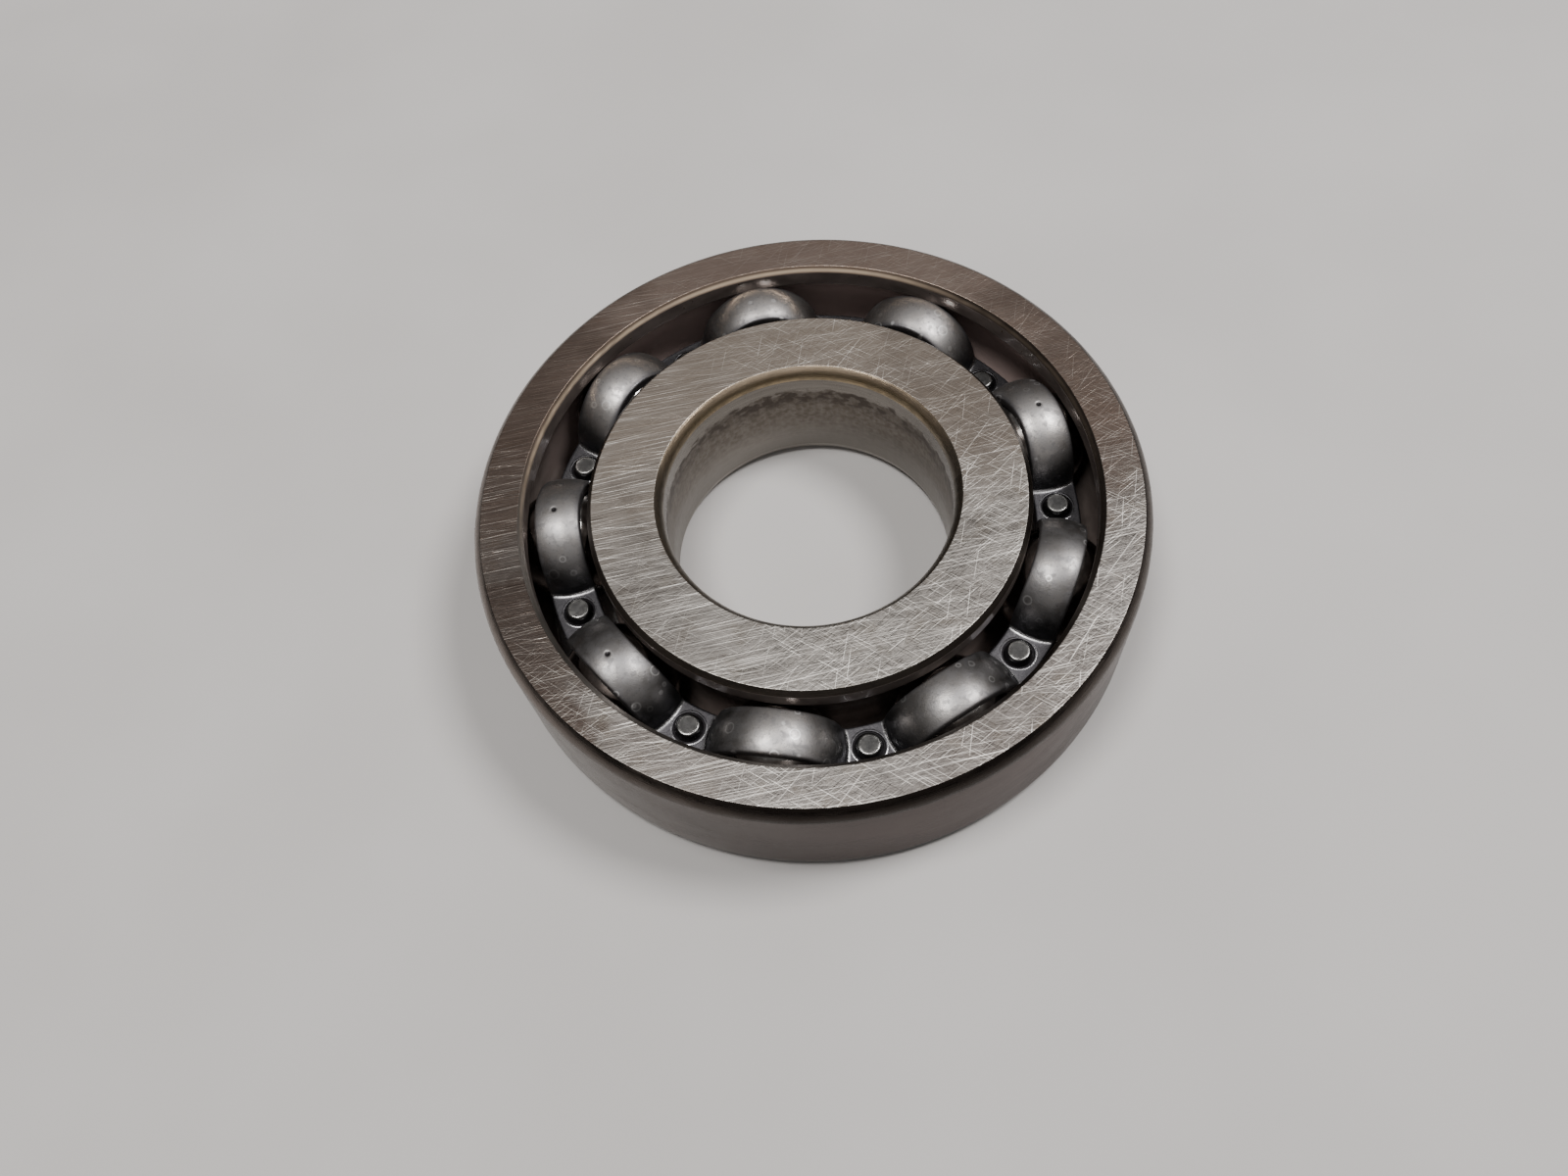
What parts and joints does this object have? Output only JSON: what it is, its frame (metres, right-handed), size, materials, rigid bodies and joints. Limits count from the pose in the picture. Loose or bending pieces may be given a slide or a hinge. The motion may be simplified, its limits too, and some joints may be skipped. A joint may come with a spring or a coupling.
{
  "type": "deep groove ball bearing",
  "caption": "Deep groove ball bearing: the inner ring turns inside the outer ring on steel balls that a riveted ribbon cage keeps apart.",
  "frame": {"origin": "centre of the bearing: on its axis, halfway across its width", "axes": "+Z along the bearing's axis, out of the side that the picture shows; the bearing lies flat, and the two side faces are square to Z"},
  "size_m": [0.102, 0.102, 0.022],
  "materials": {
    "ring_steel": "ground bearing steel, scratched side faces",
    "ball_steel": "polished bearing steel, oiled",
    "cage_steel": "dark phosphated pressed sheet, oiled",
    "rivet_steel": "dark formed rivet heads, oiled"
  },
  "bodies": {
    "outer_ring": {"outer_ring": "ring_steel"},
    "inner_ring": {"inner_ring": "ring_steel"},
    "cage": {"cage_upper": "cage_steel", "cage_lower": "cage_steel", "rivet_1": "rivet_steel", "rivet_2": "rivet_steel", "rivet_3": "rivet_steel", "rivet_4": "rivet_steel", "rivet_5": "rivet_steel", "rivet_6": "rivet_steel", "rivet_7": "rivet_steel", "rivet_8": "rivet_steel", "rivet_9": "rivet_steel"},
    "ball_1": {"ball_1": "ball_steel"},
    "ball_2": {"ball_2": "ball_steel"},
    "ball_3": {"ball_3": "ball_steel"},
    "ball_4": {"ball_4": "ball_steel"},
    "ball_5": {"ball_5": "ball_steel"},
    "ball_6": {"ball_6": "ball_steel"},
    "ball_7": {"ball_7": "ball_steel"},
    "ball_8": {"ball_8": "ball_steel"},
    "ball_9": {"ball_9": "ball_steel"}
  },
  "joints": [
    {"name": "inner_ring_spin", "type": "hinge", "parent": "outer_ring", "child": "inner_ring", "pos_m": [0, 0, 0], "axis": [0, 0, 1], "continuous": true},
    {"name": "cage_spin", "type": "hinge", "parent": "outer_ring", "child": "cage", "pos_m": [0, 0, 0], "axis": [0, 0, 1], "continuous": true},
    {"name": "ball_1_spin", "type": "hinge", "parent": "cage", "child": "ball_1", "pos_m": [0.03649, 0.01164, 0], "axis": [0, 0, 1], "continuous": true},
    {"name": "ball_2_spin", "type": "hinge", "parent": "cage", "child": "ball_2", "pos_m": [0.02047, 0.03237, 0], "axis": [0, 0, 1], "continuous": true},
    {"name": "ball_3_spin", "type": "hinge", "parent": "cage", "child": "ball_3", "pos_m": [-0.00513, 0.03796, 0], "axis": [0, 0, 1], "continuous": true},
    {"name": "ball_4_spin", "type": "hinge", "parent": "cage", "child": "ball_4", "pos_m": [-0.02833, 0.02578, 0], "axis": [0, 0, 1], "continuous": true},
    {"name": "ball_5_spin", "type": "hinge", "parent": "cage", "child": "ball_5", "pos_m": [-0.03827, 0.00154, 0], "axis": [0, 0, 1], "continuous": true},
    {"name": "ball_6_spin", "type": "hinge", "parent": "cage", "child": "ball_6", "pos_m": [-0.0303, -0.02342, 0], "axis": [0, 0, 1], "continuous": true},
    {"name": "ball_7_spin", "type": "hinge", "parent": "cage", "child": "ball_7", "pos_m": [-0.00816, -0.03742, 0], "axis": [0, 0, 1], "continuous": true},
    {"name": "ball_8_spin", "type": "hinge", "parent": "cage", "child": "ball_8", "pos_m": [0.0178, -0.03391, 0], "axis": [0, 0, 1], "continuous": true},
    {"name": "ball_9_spin", "type": "hinge", "parent": "cage", "child": "ball_9", "pos_m": [0.03544, -0.01453, 0], "axis": [0, 0, 1], "continuous": true}
  ],
  "couplings": [
    {"joint": "cage_spin", "follows": "inner_ring_spin", "ratio": 0.38601},
    {"joint": "ball_1_spin", "follows": "inner_ring_spin", "ratio": -2.0793},
    {"joint": "ball_2_spin", "follows": "inner_ring_spin", "ratio": -2.0793},
    {"joint": "ball_3_spin", "follows": "inner_ring_spin", "ratio": -2.0793},
    {"joint": "ball_4_spin", "follows": "inner_ring_spin", "ratio": -2.0793},
    {"joint": "ball_5_spin", "follows": "inner_ring_spin", "ratio": -2.0793},
    {"joint": "ball_6_spin", "follows": "inner_ring_spin", "ratio": -2.0793},
    {"joint": "ball_7_spin", "follows": "inner_ring_spin", "ratio": -2.0793},
    {"joint": "ball_8_spin", "follows": "inner_ring_spin", "ratio": -2.0793},
    {"joint": "ball_9_spin", "follows": "inner_ring_spin", "ratio": -2.0793}
  ]
}
